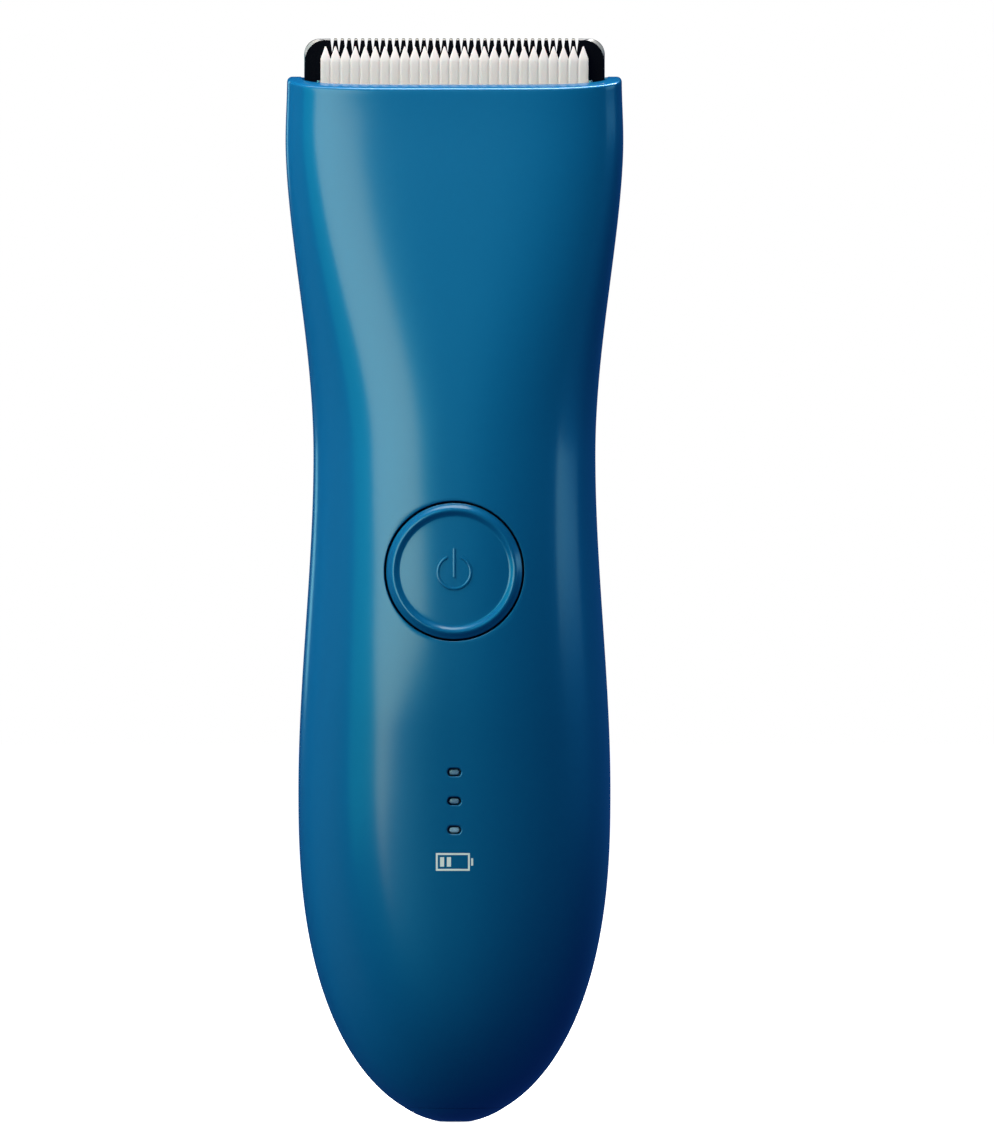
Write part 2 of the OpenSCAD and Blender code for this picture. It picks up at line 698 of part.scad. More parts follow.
// Carries the ceramic on two pegs and holds the fork that the drive pin works in
module cutter_carrier() {
    front = blade_y - cutter_t - 0.04;
    slot = 1.28;
    color("#26282b") {
        translate([-7.5, front - 1.9, cutter_foot - 1.9]) cube([15, 1.9, 6.2]);
        for (s = [-1, 1]) translate([s * 5, front - 0.5, cutter_foot + 2]) rotate([-90, 0, 0])
            cylinder(r = 0.8, h = cutter_t + 0.3, $fn = 32);
        for (s = [-1, 1]) translate([s * (slot + 1) - 1, front - 1.9, 139.8])
            cube([2, 3.54, cutter_foot - 139.9]);
    }
}

// Plug that slides into the head; it wraps the blade's tang and the cutter runs in its slot
module blade_frame() {
    color(black) difference() {
        translate([0, 0, frame_foot]) linear_extrude(frame_top - frame_foot)
            polygon(outline(rim_z, wall + 0.15));
        translate([-slot_half, slot_front, frame_foot - 1]) cube([2 * slot_half, blade_y - slot_front, 20]);
        translate([-tang_half - 0.05, blade_y - 0.01, blade_foot - 0.05])
            cube([2 * tang_half + 0.1, blade_t + 0.06, 20]);
        translate([-9.6, spring_wall, frame_foot + 2.5]) cube([19.2, slot_front - spring_wall + 1, 7]);
        translate([-5.2, slot_front - 0.5, frame_foot - 1]) cube([10.4, 7, 3]);
        for (s = [-1, 1]) translate([s * 15, blade_y + blade_t, 144]) rotate([-90, 0, 0])
            cylinder(r = 0.8, h = 3, $fn = 32);
        for (s = [-1, 1]) translate([s * guide_x, guide_y, guide_foot - 0.1])
            cylinder(r = guide_r + 0.02, h = frame_top, $fn = 24);
    }
}

// Two upright pins in the frame that keep a clipped-on comb in line
module guide_pins() {
    color(steel) for (s = [-1, 1]) translate([s * guide_x, guide_y, guide_foot])
        cylinder(r = guide_r, h = guide_top - guide_foot, $fn = 24);
}

module blade_rivets() {
    shank = 2.9 + blade_t;
    color(steel) for (s = [-1, 1]) translate([s * 15, blade_y + shank, 144]) rotate([90, 0, 0]) {
        cylinder(r = 0.77, h = shank + 0.1, $fn = 32);
        translate([0, 0, shank + 0.02]) cylinder(r = 1.3, h = 0.4, $fn = 32);
    }
}

// Bowed leaf that presses the carrier and cutter on to the fixed blade
module cutter_spring() {
    bow = 18;
    middle = blade_y - cutter_t - 0.04 - 1.9 - 0.03;
    spread = 28;
    color(steel) translate([0, middle - 0.3 - bow + 0.3, 146.2]) rotate(90 - spread)
        rotate_extrude(angle = 2 * spread, $fn = fine) translate([bow - 0.3, 0]) square([0.3, 3.6]);
}

front_housing();
rear_housing();
end_cap();
end_cap_oring();
chassis();
deck_gasket();
deck_screws();
battery_cell();
battery_cap();
battery_tab_positive();
battery_tab_negative();
battery_wire_positive();
battery_wire_negative();
jack_body();
jack_pin();
jack_wires();
circuit_board();
board_screws();
tact_switch();
controller_chip();
charge_lights();
light_guide();
motor_can();
motor_magnets();
motor_end_bell();
motor_bushes();
motor_brushes();
motor_screws();
motor_wire_positive();
motor_wire_negative();
shaft_seal();
power_button();
button_oring();
switch_plunger();
rotor_shaft();
rotor_core();
rotor_windings();
commutator();
drive_hub();
drive_pin();
blade_frame();
fixed_blade();
blade_rivets();
guide_pins();
cutter_spring();
ceramic_cutter();
cutter_carrier();
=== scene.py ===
"""Cordless body groomer: blue casing, round button, charge lights and a ceramic trimming head."""

import json
import math
from collections import namedtuple

import bmesh
import bpy
import numpy as np
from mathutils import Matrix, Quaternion, Vector


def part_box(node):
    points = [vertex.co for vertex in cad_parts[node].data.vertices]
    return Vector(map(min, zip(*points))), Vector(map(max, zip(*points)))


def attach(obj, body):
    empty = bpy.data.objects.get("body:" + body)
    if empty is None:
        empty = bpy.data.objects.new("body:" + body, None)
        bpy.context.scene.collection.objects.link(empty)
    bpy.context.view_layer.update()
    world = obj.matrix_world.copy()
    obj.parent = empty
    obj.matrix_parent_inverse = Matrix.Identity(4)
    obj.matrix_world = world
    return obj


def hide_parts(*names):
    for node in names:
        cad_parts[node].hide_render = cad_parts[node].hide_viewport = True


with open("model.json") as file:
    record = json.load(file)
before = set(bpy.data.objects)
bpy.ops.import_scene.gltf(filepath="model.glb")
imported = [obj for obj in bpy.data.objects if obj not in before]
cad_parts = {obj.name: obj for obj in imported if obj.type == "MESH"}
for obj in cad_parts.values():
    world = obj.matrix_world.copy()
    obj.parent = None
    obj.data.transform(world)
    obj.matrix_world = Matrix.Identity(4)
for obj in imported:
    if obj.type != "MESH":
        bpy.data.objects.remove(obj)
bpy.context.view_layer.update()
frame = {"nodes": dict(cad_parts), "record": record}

MM = 0.001


def box_mm(node):
    """Lowest and highest corner of a CAD node, in millimetres."""
    lo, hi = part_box(node)
    return np.array(lo) / MM, np.array(hi) / MM


# ---------- dimensions, in millimetres ----------

front_lo, front_hi = box_mm("front_housing")
rear_lo, rear_hi = box_mm("rear_housing")
button_lo, button_hi = box_mm("power_button")
guide_lo, guide_hi = box_mm("light_guide")
steel_lo, steel_hi = box_mm("fixed_blade")
ceramic_lo, ceramic_hi = box_mm("ceramic_cutter")
_, cap_hi = box_mm("end_cap")

RIM_Z = rear_hi[2]
RIM_HALF = 24.7
RIM_DEPTH = 9.0
RIM_DROP = 2.0               # how much lower the front lip is than the back one
DROP_FROM = 138.0
HEAD_HALF = front_hi[0]
HEAD_Z = 144.9
WAIST_HALF = 20.82
WAIST_Z = 98.4
WAIST_SKEW = 0.92            # under 1 the neck stays narrow further up
HANDLE_HALF = 23.04
HANDLE_Z = 48.95
HANDLE_DEPTH = -front_lo[1]
FRONT_SWELL = 58.0           # height from which the front's depth tapers to the rim
BACK_SWELL = 72.0            # the same for the back
WALL = 2.1
TAIL_WALL = 0.9              # how much thicker the wall is at the tip,
TAIL_WALL_TO = 20.0          # and the height where that ends
CAP_R = 7.55
CAP_H = rear_lo[2]
CAP_SPHERE = 13.3
BORE_R = 5.0
BORE_TOP = 4.6
PORT_R = 2.1
WIDTH_POWER = math.log(1 - (CAP_R / HANDLE_HALF) ** 2) / math.log(1 - CAP_H / HANDLE_Z)
DEPTH_POWER = math.log(1 - (CAP_R / HANDLE_DEPTH) ** 2) / math.log(1 - CAP_H / HANDLE_Z)

BUTTON_Z = (button_lo[2] + button_hi[2]) / 2
BUTTON_R = 10.0
BUTTON_GAP = 0.3
BUTTON_HOLE_R = BUTTON_R + BUTTON_GAP
BUTTON_ZONE = 14.0           # half side of the square round the button's hole
BUTTON_STEP_Y = -10.8        # behind this the hole is wider
BUTTON_STEP_R = BUTTON_HOLE_R + 1.5
LIGHT_PITCH = 4.23
LIGHT_COUNT = 3
LIGHT_MID = (guide_lo[2] + guide_hi[2]) / 2
LIGHT_Z = [LIGHT_MID + (i - (LIGHT_COUNT - 1) / 2) * LIGHT_PITCH for i in range(LIGHT_COUNT)]
LIGHT_OPENING = 2.05, 1.22
LIGHT_ZONE = 1.75            # half height of the rectangle round a light's opening,
LIGHT_ZONE_HALF = 2.0        # and its half width

TIP_Z = steel_hi[2]
BLADE_HALF = steel_hi[0]
BLADE_FRONT = steel_lo[1]
BLADE_BACK = steel_hi[1]
FIXED_TEETH = 36
FIXED_PITCH = 1.004
CUTTER_TEETH = 27
CUTTER_HALF = ceramic_hi[0]
CUTTER_PITCH = 2 * CUTTER_HALF / CUTTER_TEETH

LIP_R = 0.14                 # rounding of the openings' edges
SEAM_R = 0.12                # rounding of the parting lines
TAIL_R = 0.03                # rounding where the cap meets the casing
RIM_SIDE_R = 0.75
RIM_FRONT_R = 0.34
RIM_INNER_R = 0.15
DIAGONAL = 0.29              # where a rounding's middle lies, as a share of its radius: 1 - cos 45


# ---------- shape of the casing ----------

def smooth(t):
    """Eases from 0 to 1 with level ends."""
    t = np.clip(t, 0, 1)
    return t * t * (3 - 2 * t)


def mix(a, b, t):
    """The value a share t of the way from a to b."""
    return a + (b - a) * t


def tail(z, power):
    """Share of the handle's full size that is left at a height in the rounded tail."""
    drop = np.clip((HANDLE_Z - z) / HANDLE_Z, 0, 1)
    return np.sqrt(np.clip(1 - drop ** power, 0, None))


def half_width(z):
    """Half the casing's width at a height: head, neck, grip and tail."""
    z = np.asarray(z, float)
    flare = np.clip((HEAD_Z - z) / (HEAD_Z - WAIST_Z), 0, 1) ** WAIST_SKEW
    head = mix(HEAD_HALF, RIM_HALF, smooth((z - HEAD_Z) / (RIM_Z - HEAD_Z)))
    neck = mix(HEAD_HALF, WAIST_HALF, smooth(flare))
    grip = mix(HANDLE_HALF, WAIST_HALF, smooth((z - HANDLE_Z) / (WAIST_Z - HANDLE_Z)))
    return np.where(z > HEAD_Z, head, np.where(z > WAIST_Z, neck, np.where(
        z > HANDLE_Z, grip, HANDLE_HALF * tail(z, WIDTH_POWER))))


def half_depth(z, swell):
    """Half the casing's depth at a height, tapering from the swell up to the rim."""
    z = np.asarray(z, float)
    upper = mix(HANDLE_DEPTH, RIM_DEPTH, smooth((z - swell) / (RIM_Z - swell)))
    return np.where(z > HANDLE_Z, upper, HANDLE_DEPTH * tail(z, DEPTH_POWER))


def squareness(z):
    """Exponent of the section at a height: 2 is an ellipse, more is squarer."""
    z = np.asarray(z, float)
    upper = mix(2.6, 4.6, smooth((z - WAIST_Z) / (RIM_Z - WAIST_Z)))
    return np.where(z > WAIST_Z, upper, mix(2, 2.6, smooth(z / HANDLE_Z)))


def reach(x, z, swell=FRONT_SWELL, inset=0.0):
    """Distance from the XZ plane to the casing's surface at x and z."""
    n = squareness(z)
    share = np.clip(np.abs(x) / (half_width(z) - inset), 0, 1)
    return (half_depth(z, swell) - inset) * (1 - share ** n) ** (1 / n)


def rim_fall(y, z):
    """How far the front half's rings bend down towards the front lip."""
    forward = np.clip(-y / RIM_DEPTH, 0, None) ** 1.6
    return RIM_DROP * forward * smooth((z - DROP_FROM) / (RIM_Z - DROP_FROM))


# ---------- mesh helpers ----------

def new_piece(name, points, faces, body, slot, replaced=(), crease=32):
    """A closed smooth-shaded mesh from points in millimetres, riding on a body."""
    mesh = bpy.data.meshes.new(name)
    mesh.from_pydata([Vector(p) * MM for p in points], [], faces)
    form = bmesh.new()
    form.from_mesh(mesh)
    bmesh.ops.remove_doubles(form, verts=form.verts, dist=2e-7)
    bmesh.ops.recalc_face_normals(form, faces=form.faces)
    if form.calc_volume(signed=True) < 0:
        bmesh.ops.reverse_faces(form, faces=form.faces)
    for face in form.faces:
        face.smooth = True
    form.to_mesh(mesh)
    form.free()
    mesh.set_sharp_from_angle(angle=math.radians(crease))
    piece = bpy.data.objects.new(name, mesh)
    bpy.context.scene.collection.objects.link(piece)
    mesh.materials.append(finish_of(slot))
    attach(piece, body)
    if replaced:
        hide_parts(*replaced)
    return piece


def strip(first, second):
    """Faces between two closed loops of vertex numbers."""
    count = len(first)
    return [(first[i], first[(i + 1) % count], second[(i + 1) % count], second[i])
            for i in range(count)]


class Solid:
    """Collects loops of points and the faces between them."""

    def __init__(self):
        self.points = []
        self.faces = []

    def loop(self, points):
        start = len(self.points)
        self.points.extend(tuple(p) for p in points)
        return list(range(start, len(self.points)))

    def loft(self, loops, close_start=True, close_end=True):
        for first, second in zip(loops, loops[1:]):
            self.faces.extend(strip(first, second))
        if close_start:
            self.faces.append(tuple(loops[0]))
        if close_end:
            self.faces.append(tuple(loops[-1]))

    def fan(self, centre, loop):
        """Closes a loop with triangles to one point."""
        tip = self.loop([centre])[0]
        count = len(loop)
        self.faces.extend((loop[i], loop[(i + 1) % count], tip) for i in range(count))


def lathe(profile, steps):
    """Loops round the Z axis for a list of (radius, z)."""
    turn = np.linspace(0, 2 * math.pi, steps, endpoint=False)
    return [[(r * math.cos(a), r * math.sin(a), z) for a in turn] for r, z in profile]


def spaced(a, b, step):
    """Even heights from a up to b, without b, no further apart than step."""
    count = max(1, math.ceil((b - a) / step - 1e-6))
    return list(np.linspace(a, b, count, endpoint=False))


# ---------- casing ----------

FLAT = BUTTON_ZONE          # the columns run straight up for this far each side of the middle,
FLAT_SHARE = 0.68           # and for no more than this share of the half width
ARC_COLUMNS = 22            # columns from there to the seam
ARC_SAMPLES = 161
TAIL_ROWS = 46
ROW_STEP = 0.9

# A rectangle of the front casing's grid that holds an opening. Its outline, and the outline
# behind the step at step_y, take angles round its centre and an offset.
Window = namedtuple("Window", "low high row_step half outline step_y back_outline")


def column_angles(z, inset, swell, lines):
    """Superellipse angles of one ring's columns.

    They are straight lines in the middle, then even steps to the seam.
    """
    hx, hy, n = half_width(z) - inset, half_depth(z, swell) - inset, float(squareness(z))
    x0 = min(FLAT, FLAT_SHARE * float(half_width(z)))
    flat = np.arccos((np.abs(lines) * x0 / FLAT / hx) ** (n / 2))
    fine = math.acos((x0 / hx) ** (n / 2)) * np.linspace(1, 0, ARC_SAMPLES) ** (n / 2)
    across = np.diff(hx * np.cos(fine) ** (2 / n))
    along = np.diff(hy * np.sin(fine) ** (2 / n))
    run = np.concatenate([[0], np.cumsum(np.hypot(across, along))])
    even = np.interp(np.linspace(0, run[-1] - SEAM_R, ARC_COLUMNS + 1)[1:], run, fine)
    return flat, even


def column_turns(angles):
    """Angles of all columns of a ring, from seam to seam."""
    flat, even = angles
    return np.concatenate([even[::-1], flat, even])


def ring(z, inset, swell, side, lines, angles, groove):
    """One ring of a half casing from seam to seam. Z and inset may differ from column to column."""
    angle = column_turns(angles)
    beside = np.ones(ARC_COLUMNS)
    sign = np.concatenate([-beside, np.sign(lines), beside])
    hx, hy, n = half_width(z) - inset, half_depth(z, swell) - inset, squareness(z)
    x = sign * hx * np.cos(angle) ** (2 / n)
    y = hy * np.sin(angle) ** (2 / n)
    ends = half_width(np.atleast_1d(z)[[0, -1]]) - np.atleast_1d(inset)[[0, -1]]
    step = DIAGONAL * SEAM_R
    left = [-ends[0] + groove, -ends[0] + DIAGONAL * groove]
    right = [ends[1] - DIAGONAL * groove, ends[1] - groove]
    x = np.concatenate([left, x, right])
    y = side * np.concatenate([[0, step], y, [step, 0]])
    heights = np.broadcast_to(z, angle.shape)
    heights = np.concatenate([heights[[0, 0]], heights, heights[[-1, -1]]])
    return np.stack([x, y, heights - rim_fall(y, heights)], 1)


def circle_ring(like, radius, z):
    """The ring `like` drawn in to a circle at height z."""
    flat = like[:, :2]
    around = flat / np.maximum(np.linalg.norm(flat, axis=1, keepdims=True), 1e-9) * radius
    return np.column_stack([around, np.full(len(like), z)])


def casing_rows(windows):
    """Heights of the outer rows: closer towards the tip, and with steps of their own in windows."""
    foot = CAP_H + TAIL_R
    at = windows[0].low if windows else HANDLE_Z
    quarter = [math.pi / 2 * i / TAIL_ROWS for i in range(TAIL_ROWS)]
    rows = [mix(foot, at, 1 - math.cos(turn)) for turn in quarter]
    for window in windows:
        rows += spaced(at, window.low, ROW_STEP) if window.low > at else []
        rows += spaced(window.low, window.high, window.row_step)
        at = window.high
    top = RIM_Z - ROW_STEP
    return rows + spaced(at, top, ROW_STEP) + [top]


def casing_rings(side, swell, lines, rows):
    """Rings up the outside, over the rim, down the inside and back along the tail's bore.

    With them come the numbers of the outer and of the inner ring at each row's height.
    """
    rings = []

    def add(z, inset, groove, angles=None):
        angles = angles or column_angles(z, inset, swell, lines)
        rings.append(ring(z, inset, swell, side, lines, angles, groove))

    add(CAP_H, TAIL_R, SEAM_R)
    add(CAP_H + DIAGONAL * TAIL_R, DIAGONAL * TAIL_R, SEAM_R)
    outer_at = {}
    for z in rows:
        outer_at[z] = len(rings)
        add(z, 0.0, SEAM_R)
    rim_angles = column_angles(rows[-1], 0.0, swell, lines)
    forward = np.sin(column_turns(rim_angles)) ** (2 / float(squareness(RIM_Z)))
    round_r = np.full(forward.shape, RIM_SIDE_R)
    if side < 0:
        round_r = mix(RIM_SIDE_R, RIM_FRONT_R, smooth(forward * 1.25))
    for turn in np.radians([0, 15, 30, 45, 60, 75, 90]):
        inset = round_r * (1 - math.cos(turn))
        add(RIM_Z - round_r * (1 - math.sin(turn)), inset, SEAM_R * (1 - math.sin(turn)), rim_angles)
    top = np.full(forward.shape, RIM_Z)
    for t in (0.35, 0.7):
        add(top, mix(round_r, WALL - RIM_INNER_R, t), 0.0, rim_angles)
    for turn in np.radians([0, 30, 60, 90]):
        inset = WALL - RIM_INNER_R * (1 - math.sin(turn))
        add(top - RIM_INNER_R * (1 - math.cos(turn)), inset, 0.0, rim_angles)
    inner_at = {}
    for z in (z for z in rows[::-1] if z > BORE_TOP):
        inner_at[z] = len(rings)
        add(z, WALL + TAIL_WALL * (1 - float(smooth(z / TAIL_WALL_TO))), 0.0)
    rings.append(circle_ring(rings[-1], BORE_R, BORE_TOP))
    rings.append(circle_ring(rings[-1], BORE_R, CAP_H))
    return rings, outer_at, inner_at


def half_casing(side, swell, lines, windows):
    """Half of the casing from seam to seam, with openings at its windows."""
    rows = casing_rows(windows)
    rings, outer_at, inner_at = casing_rings(side, swell, lines, rows)
    solid = Solid()
    numbers = np.array([solid.loop(r) for r in rings])
    skipped = set()
    first_line = 2 + ARC_COLUMNS
    openings = []
    for window in windows:
        c0, c1 = (first_line + nearest(lines, x) for x in (-window.half, window.half))
        r0, r1 = (nearest(rows, z) for z in (window.low, window.high))
        outer, inner = ([ring_at[z] for z in rows[r0:r1 + 1]] for ring_at in (outer_at, inner_at))
        skipped |= {(j, c) for j in outer[:-1] for c in range(c0, c1)}
        skipped |= {(j - 1, c) for j in inner[:-1] for c in range(c0, c1)}
        openings.append([edge_loop(numbers, levels, c0, c1) for levels in (outer, inner)])
    count = numbers.shape[1]
    for j in range(len(rings)):
        below, above = numbers[j], numbers[(j + 1) % len(rings)]
        for c in range(count - 1):
            if (j, c) not in skipped:
                solid.faces.append((below[c], below[c + 1], above[c + 1], above[c]))
    solid.faces.append(tuple(numbers[:, 0]))
    solid.faces.append(tuple(numbers[:, -1]))
    for window, (outer, inner) in zip(windows, openings):
        open_window(solid, outer, inner, window)
    return solid


def nearest(values, value):
    """Where in a list the value closest to a given one stands."""
    return int(np.argmin(np.abs(np.array(values) - value)))


def edge_loop(numbers, levels, c0, c1):
    """Vertex numbers round a rectangle of the grid, from its lower left corner."""
    low, high = levels[0], levels[-1]
    return ([numbers[low, c] for c in range(c0, c1)] + [numbers[j, c1] for j in levels[:-1]]
            + [numbers[high, c] for c in range(c1, c0, -1)] + [numbers[j, c0] for j in levels[:0:-1]])


def open_window(solid, outer, inner, window):
    """Joins the grid's rectangle to a rounded opening, and that through the wall to the inside."""
    outline = window.outline
    centre = (window.low + window.high) / 2
    square = np.array([solid.points[i] for i in outer])[:, [0, 2]] - [0, centre]
    around = np.arctan2(square[:, 1], square[:, 0])
    inner_square = np.array([solid.points[i] for i in inner])[:, [0, 2]] - [0, centre]

    def level(flat, y):
        return solid.loop(np.column_stack([flat[:, 0], y, flat[:, 1] + centre]))

    def surface(flat, inset=0.0):
        return -reach(flat[:, 0], flat[:, 1] + centre, FRONT_SWELL, inset)

    loops = [outer]
    lip = outline(around, LIP_R)
    for t in (0.1, 0.2, 0.35, 0.55, 0.75, 0.9, 1):
        flat = mix(square, lip, t)
        loops.append(level(flat, surface(flat)))
    for turn in np.radians([30, 60, 90]):
        flat = outline(around, LIP_R * (1 - math.sin(turn)))
        loops.append(level(flat, surface(flat) + LIP_R * (1 - math.cos(turn))))
    hole = outline(around, 0)
    back = window.back_outline(around, 0)
    if window.step_y is not None:
        loops.append(level(hole, np.full(len(hole), window.step_y)))
        loops.append(level(back, np.full(len(back), window.step_y)))
    for t in (0, 0.5):
        flat = mix(back, inner_square, t)
        loops.append(level(flat, surface(flat, WALL)))
    loops.append(inner)
    solid.loft(loops, False, False)


def round_outline(radius):
    """A round outline met by rays from its centre."""
    def outline(around, offset):
        return (radius + offset) * np.column_stack([np.cos(around), np.sin(around)])
    return outline


def pill_outline(width, height):
    """A pill-shaped outline met by rays from its centre."""
    def outline(around, offset):
        r = height / 2 + offset
        run = (width - height) / 2
        c, s = np.abs(np.cos(around)), np.abs(np.sin(around))
        flat = r / np.maximum(s, 1e-9)
        end = run * c + np.sqrt(np.maximum(r * r - (run * s) ** 2, 0))
        length = np.where(flat * c <= run, flat, end)
        return np.column_stack([np.cos(around), np.sin(around)]) * length[:, None]
    return outline


def casing_piece(name, solid, node):
    """A blue piece of the housing, in place of a CAD node."""
    new_piece(name, solid.points, solid.faces, "housing", "housing_plastic", [node])


def build_casing():
    """The two halves of the handle. The front one has openings for the lights and the button."""
    fine, coarse = 0.25, 0.5
    light = pill_outline(*LIGHT_OPENING)
    windows = [Window(z - LIGHT_ZONE, z + LIGHT_ZONE, fine, LIGHT_ZONE_HALF, light, None, light)
               for z in LIGHT_Z]
    windows.append(Window(BUTTON_Z - BUTTON_ZONE, BUTTON_Z + BUTTON_ZONE, coarse, BUTTON_ZONE,
                          round_outline(BUTTON_HOLE_R), BUTTON_STEP_Y, round_outline(BUTTON_STEP_R)))
    half = np.concatenate([np.arange(0, LIGHT_ZONE_HALF, fine),
                           np.arange(LIGHT_ZONE_HALF, FLAT + 0.1, coarse)])
    lines = np.concatenate([-half[:0:-1], half])
    casing_piece("front_casing", half_casing(-1, FRONT_SWELL, lines, windows), "front_housing")
    lines = np.linspace(-FLAT, FLAT, 29)
    casing_piece("rear_casing", half_casing(1, BACK_SWELL, lines, []), "rear_housing")


def dome_z(r):
    """Height of the cap's domed end at a radius. It is 0 at the port's edge."""
    tip = CAP_SPHERE - math.sqrt(CAP_SPHERE ** 2 - PORT_R ** 2)
    return CAP_SPHERE - math.sqrt(CAP_SPHERE ** 2 - r * r) - tip


def build_end_cap():
    """Domed cap with an O-ring groove; its port and its rim have small roundings."""
    edge = CAP_R - 0.05
    edge_r = 0.03
    shoulder = CAP_H - 0.02
    neck_r, groove_r = 4.85, 4.25
    groove_low, groove_high = 2.3, 3.1
    top, chamfer = cap_hi[2], 0.1
    profile = [(PORT_R, 0.25), (PORT_R + 0.03, 0.1), (PORT_R + 0.1, 0.035)]
    profile += [(r, dome_z(r)) for r in np.linspace(PORT_R + 0.25, edge - edge_r, 22)]
    profile += [(edge, CAP_H - edge_r), (edge - 0.04, shoulder), (neck_r, shoulder)]
    profile += [(neck_r, groove_low), (groove_r, groove_low)]
    profile += [(groove_r, groove_high), (neck_r, groove_high)]
    profile += [(neck_r, top - chamfer), (neck_r - chamfer, top)]
    profile += [(PORT_R + chamfer, top), (PORT_R, top - chamfer)]
    solid = Solid()
    loops = [solid.loop(points) for points in lathe(profile, 128)]
    solid.loft(loops + [loops[0]], False, False)
    casing_piece("tail_cap", solid, "end_cap")


# ---------- power button ----------

DISH = -0.1                  # the face's middle, under the casing's surface
BEAD_H = 0.4
BEAD_FROM = 0.795            # the raised ring's inner edge, as a share of the button's radius
FACE_EDGE_R = 0.16


def button_relief(r):
    """Height of the button's face over the casing's surface."""
    t = np.clip((r / BUTTON_R - BEAD_FROM) / (1 - BEAD_FROM), 0, 1)
    return DISH + BEAD_H * np.sin(math.pi * t) ** 2


def build_button():
    """Dished face with a raised ring, then the skirt, flange and centre post behind it."""
    body_r, seal_r, flange_r, inside_r, post_r = BUTTON_R - 0.01, 9.3, 11.0, 8.4, 1.5
    neck, seal_front, seal_back = 12.8, 12.5, 11.55
    flange_front, flange_back = 10.7, 9.9
    floor, post_back = 12.6, 11.42
    steps = 192
    turn = np.linspace(0, 2 * math.pi, steps, endpoint=False)
    solid = Solid()

    def level(r, forward):
        x, z = r * np.cos(turn), BUTTON_Z + r * np.sin(turn)
        return solid.loop(np.column_stack([x, -(forward + 0 * x), z]))

    def face(r, down=0.0):
        surface = reach(r * np.cos(turn), BUTTON_Z + r * np.sin(turn))
        return level(r, surface + button_relief(r) - down)

    bead = BUTTON_R * BEAD_FROM
    edge = BUTTON_R - FACE_EDGE_R
    loops = [face(r) for r in np.linspace(0.5, bead, 16)]
    loops += [face(r) for r in np.linspace(bead, edge, 27)[1:]]
    for a in np.radians([22, 45, 68, 90]):
        loops.append(face(edge + FACE_EDGE_R * math.sin(a), FACE_EDGE_R * (1 - math.cos(a))))
    side = [(body_r, neck), (body_r, seal_front), (seal_r, seal_front),
            (seal_r, seal_back), (body_r, seal_back), (body_r, flange_front),
            (flange_r, flange_front), (flange_r, flange_back), (inside_r, flange_back),
            (inside_r, floor), (post_r, floor), (post_r, post_back)]
    loops += [level(r, forward) for r, forward in side]
    solid.loft(loops, False, True)
    solid.fan((0, -float(reach(0, BUTTON_Z) + DISH), BUTTON_Z), loops[0])
    new_piece("button_cap", solid.points, solid.faces, "button", "housing_plastic", ["power_button"])


def raised_stroke(name, path):
    """A rounded ridge on the button with round ends, along (x, z) points about its centre."""
    half, height, sink = 0.23, 0.14, 0.1
    path = np.asarray(path, float)
    along = np.gradient(path, axis=0)
    along /= np.linalg.norm(along, axis=1, keepdims=True)
    end_turns = np.radians([8, 25, 45, 65])
    stations = []
    for a in end_turns:
        stations.append((path[0] - along[0] * half * math.cos(a), along[0], half * math.sin(a)))
    stations += [(p, t, half) for p, t in zip(path, along)]
    for a in end_turns[::-1]:
        stations.append((path[-1] + along[-1] * half * math.cos(a), along[-1], half * math.sin(a)))
    shape = [(-1.0, -sink), (-1.0, 0.25 * height), (-0.86, 0.8 * height), (-0.62, height), (0, height),
             (0.62, height), (0.86, 0.8 * height), (1.0, 0.25 * height), (1.0, -sink)]
    solid = Solid()
    loops = []
    for p, t, w in stations:
        normal = np.array([-t[1], t[0]])
        points = []
        for share, up in shape:
            q = p + normal * share * w
            r = float(np.hypot(*q))
            forward = float(reach(q[0], BUTTON_Z + q[1])) + float(button_relief(r)) + up
            points.append((q[0], -forward, BUTTON_Z + q[1]))
        loops.append(solid.loop(points))
    solid.loft(loops)
    new_piece(name, solid.points, solid.faces, "button", "housing_plastic")


def build_power_symbol():
    """The usual on and off symbol: an open ring and a bar, raised from the dish."""
    radius, low = 2.42, -0.16
    bar_top, bar_foot = 3.15, -0.75
    gap = math.radians(29)
    sweep = np.linspace(gap, 2 * math.pi - gap, 72)
    raised_stroke("symbol_ring", [(radius * math.sin(a), low + radius * math.cos(a)) for a in sweep])
    raised_stroke("symbol_bar", [(0, z) for z in np.linspace(bar_top, bar_foot, 12)])


# ---------- charge lights ----------

def build_lights():
    """Clear fingers with domed faces just inside the casing's openings, on one bridge."""
    outline = pill_outline(1.45, 0.76)
    foot, bridge_back, bridge_front = 9.75, 12.4, 13.6
    wider, sunk = 0.28, 0.3
    around = np.linspace(0, 2 * math.pi, 48, endpoint=False)
    solid = Solid()
    for z in LIGHT_Z:
        top = float(reach(0, z)) - sunk
        levels = [(foot, wider, 1), (bridge_back, wider, 1), (bridge_back, 0, 1), (top - 0.12, 0, 1),
                  (top - 0.04, -0.05, 1), (top, -0.13, 1), (top + 0.02, -0.13, 0.5)]
        loops = []
        for forward, offset, scale in levels:
            flat = outline(around, offset) * scale
            y = np.full(len(flat), -forward)
            loops.append(solid.loop(np.column_stack([flat[:, 0], y, flat[:, 1] + z])))
        solid.loft(loops)
    wide, tall = 3.2, (guide_hi[2] - guide_lo[2]) / 2
    corners = [(-wide, -tall), (wide, -tall), (wide, tall), (-wide, tall)]
    solid.loft([solid.loop([(x, -forward, LIGHT_MID + z) for x, z in corners])
                for forward in (bridge_back, bridge_front)])
    new_piece("light_pipes", solid.points, solid.faces, "housing", "clear_lens", ["light_guide"])


